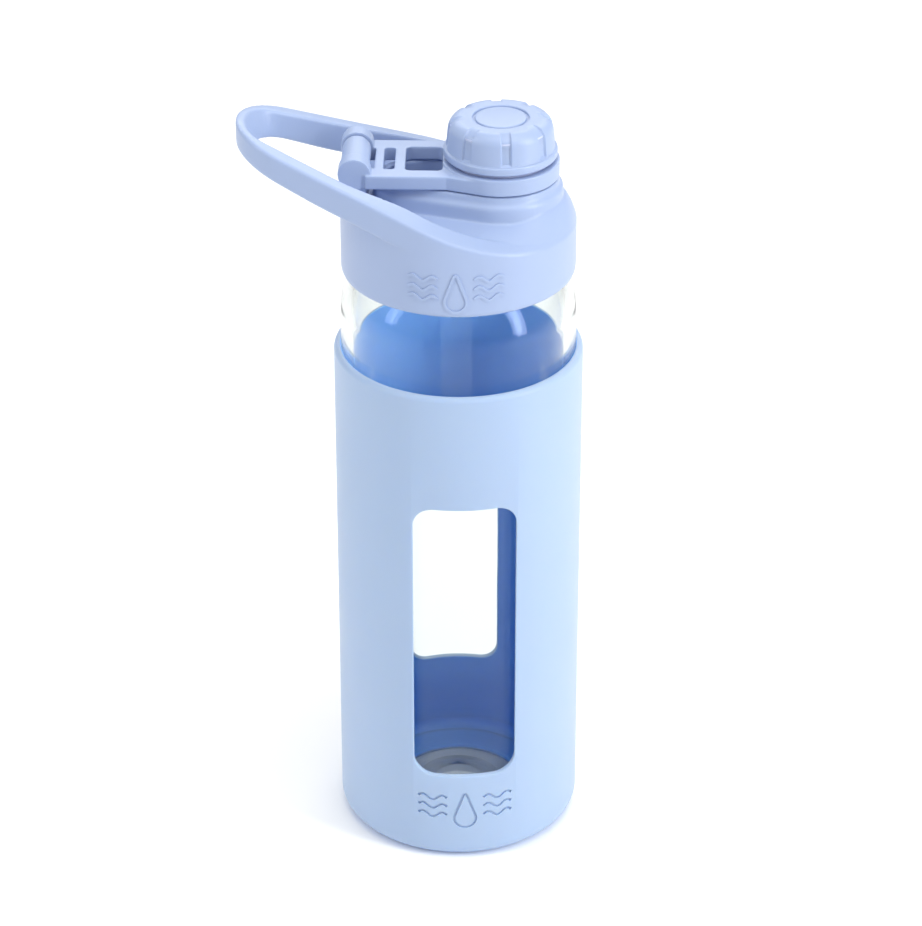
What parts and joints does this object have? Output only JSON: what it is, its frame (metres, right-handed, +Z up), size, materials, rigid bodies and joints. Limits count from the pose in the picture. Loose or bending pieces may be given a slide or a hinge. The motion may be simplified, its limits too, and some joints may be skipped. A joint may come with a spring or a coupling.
{
  "type": "glass water bottle",
  "caption": "Tall round glass water bottle in a windowed silicone sleeve, with a screw lid, a carry loop and a tethered screw cap over its drinking spout.",
  "frame": {"origin": "on the bottle's axis, in the plane of the surface it stands on, at the middle of the round hole in the sleeve's floor", "axes": "+Z up along the bottle's axis, +X toward the drinking spout, the carry loop and the hinge toward -X, and the main window of the sleeve toward -Y"},
  "size_m": [0.0956, 0.07, 0.2216],
  "materials": {
    "clear_glass": "clear, polished",
    "sleeve_silicone": "matte moulded silicone",
    "lid_plastic": "fine satin moulded polypropylene",
    "liner_plastic": "satin moulded polypropylene",
    "seal_silicone": "translucent white silicone",
    "pin_steel": "drawn stainless steel"
  },
  "bodies": {
    "bottle": {"glass_bottle": "clear_glass", "silicone_sleeve": "sleeve_silicone"},
    "lid_seal": {"lid_gasket": "seal_silicone"},
    "lid": {"lid_body": "lid_plastic", "thread_ring": "liner_plastic"},
    "arm": {"tether_arm": "lid_plastic", "hinge_pin": "pin_steel"},
    "spout_seal": {"cap_seal": "seal_silicone"},
    "cap": {"cap_shell": "lid_plastic", "cap_core": "liner_plastic", "cap_disc": "lid_plastic"}
  },
  "joints": [
    {"name": "lid_rise", "type": "slide", "parent": "bottle", "child": "lid_seal", "axis": [0, 0, 1], "range_m": [0, 0.012]},
    {"name": "lid_turn", "type": "hinge", "parent": "lid_seal", "child": "lid", "pos_m": [0, 0, 0.185], "axis": [0, 0, 1], "range_deg": [0, 720]},
    {"name": "arm_swing", "type": "hinge", "parent": "lid", "child": "arm", "pos_m": [-0.028, 0, 0.209], "axis": [0, -1, 0], "range_deg": [0, 120]},
    {"name": "cap_rise", "type": "slide", "parent": "arm", "child": "spout_seal", "axis": [0, 0, 1], "range_m": [0, 0.002]},
    {"name": "cap_turn", "type": "hinge", "parent": "spout_seal", "child": "cap", "pos_m": [0.0115, 0, 0.215], "axis": [0, 0, 1], "range_deg": [0, 180]}
  ],
  "couplings": [
    {"joint": "lid_rise", "follows": "lid_turn", "m_per_rad": 0.00095492},
    {"joint": "cap_rise", "follows": "cap_turn", "m_per_rad": 0.00063661}
  ]
}
